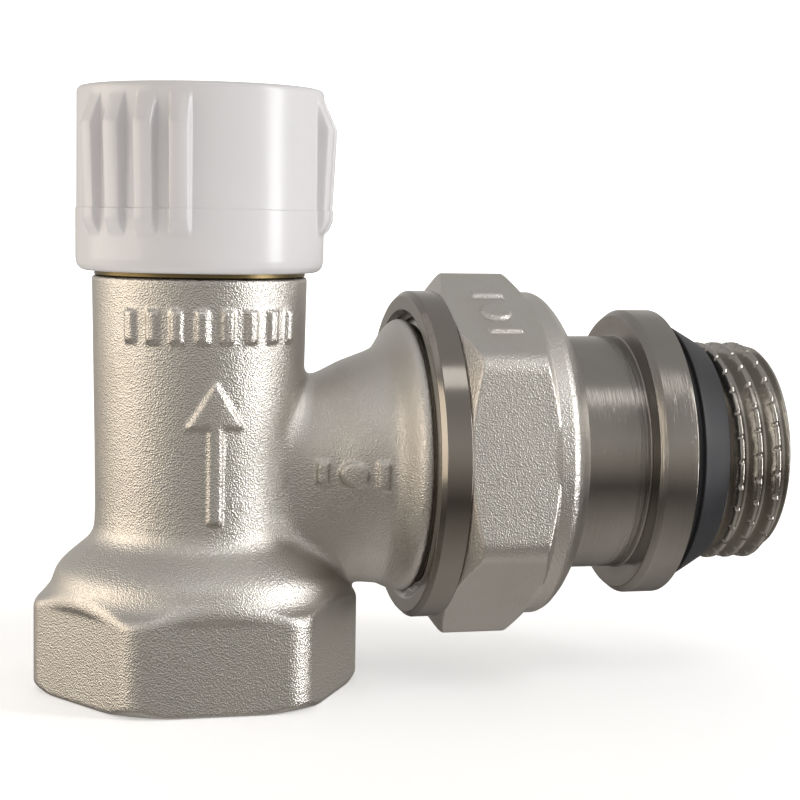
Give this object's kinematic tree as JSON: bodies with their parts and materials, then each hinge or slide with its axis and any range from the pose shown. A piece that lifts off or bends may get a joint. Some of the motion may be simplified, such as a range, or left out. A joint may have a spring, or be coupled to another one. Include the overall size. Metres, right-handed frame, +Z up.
{
  "type": "lockshield valve",
  "caption": "Angle lockshield radiator valve with a threaded hexagon inlet, ribbed screw-off protective cap, union nut and sealed tailpiece.",
  "frame": {"origin": "centre of the inlet thread's mouth, in the foot's bottom face", "axes": "+Z runs up the barrel towards the cap, +X runs along the branch towards the tail thread, and Y completes a right-handed frame"},
  "size_m": [0.0689, 0.0312, 0.0544],
  "materials": {
    "forged_nickel": "nickel-plated, shot-blasted forging",
    "turned_nickel": "nickel-plated, turned",
    "turned_brass": "turned",
    "spring_steel": "satin",
    "black_rubber": "moulded",
    "white_plastic": "glossy moulded"
  },
  "bodies": {
    "valve": {"valve_body": "forged_nickel", "headwork": "turned_brass", "headwork_oring": "black_rubber"},
    "plug": {"plug": "turned_brass", "seat_washer": "black_rubber", "washer_screw": "turned_brass"},
    "spindle": {"spindle": "turned_brass", "spindle_clip": "spring_steel", "stem_oring_lower": "black_rubber", "stem_oring_upper": "black_rubber"},
    "gasket": {"cap_gasket": "black_rubber"},
    "cap": {"cap": "white_plastic"},
    "split_ring": {"split_ring": "spring_steel"},
    "nut": {"union_nut": "forged_nickel"},
    "tail": {"tailpiece": "turned_nickel", "nose_oring": "black_rubber", "seal_ring": "black_rubber"}
  },
  "joints": [
    {"name": "spindle_turn", "type": "hinge", "parent": "valve", "child": "spindle", "pos_m": [0, 0, 0.04], "axis": [0, 0, 1], "range_deg": [0, 1080]},
    {"name": "plug_lift", "type": "slide", "parent": "valve", "child": "plug", "axis": [0, 0, 1], "range_m": [0, 0.00375]},
    {"name": "cap_lift", "type": "slide", "parent": "valve", "child": "gasket", "axis": [0, 0, 1], "range_m": [0, 0.0048]},
    {"name": "cap_turn", "type": "hinge", "parent": "gasket", "child": "cap", "pos_m": [0, 0, 0.046], "axis": [0, 0, 1], "range_deg": [0, 864]},
    {"name": "tail_draw", "type": "slide", "parent": "valve", "child": "split_ring", "axis": [1, 0, 0], "range_m": [0, 0.00786]},
    {"name": "nut_turn", "type": "hinge", "parent": "split_ring", "child": "nut", "pos_m": [0.026, 0, 0.0211], "axis": [1, 0, 0], "range_deg": [0, 1560]},
    {"name": "tail_swivel", "type": "hinge", "parent": "split_ring", "child": "tail", "pos_m": [0.038, 0, 0.0211], "axis": [1, 0, 0], "continuous": true}
  ],
  "couplings": [
    {"joint": "spindle_turn", "follows": "plug_lift", "rad_per_m": 5026.5},
    {"joint": "cap_turn", "follows": "cap_lift", "rad_per_m": 3141.6},
    {"joint": "nut_turn", "follows": "tail_draw", "rad_per_m": 3463.1}
  ]
}
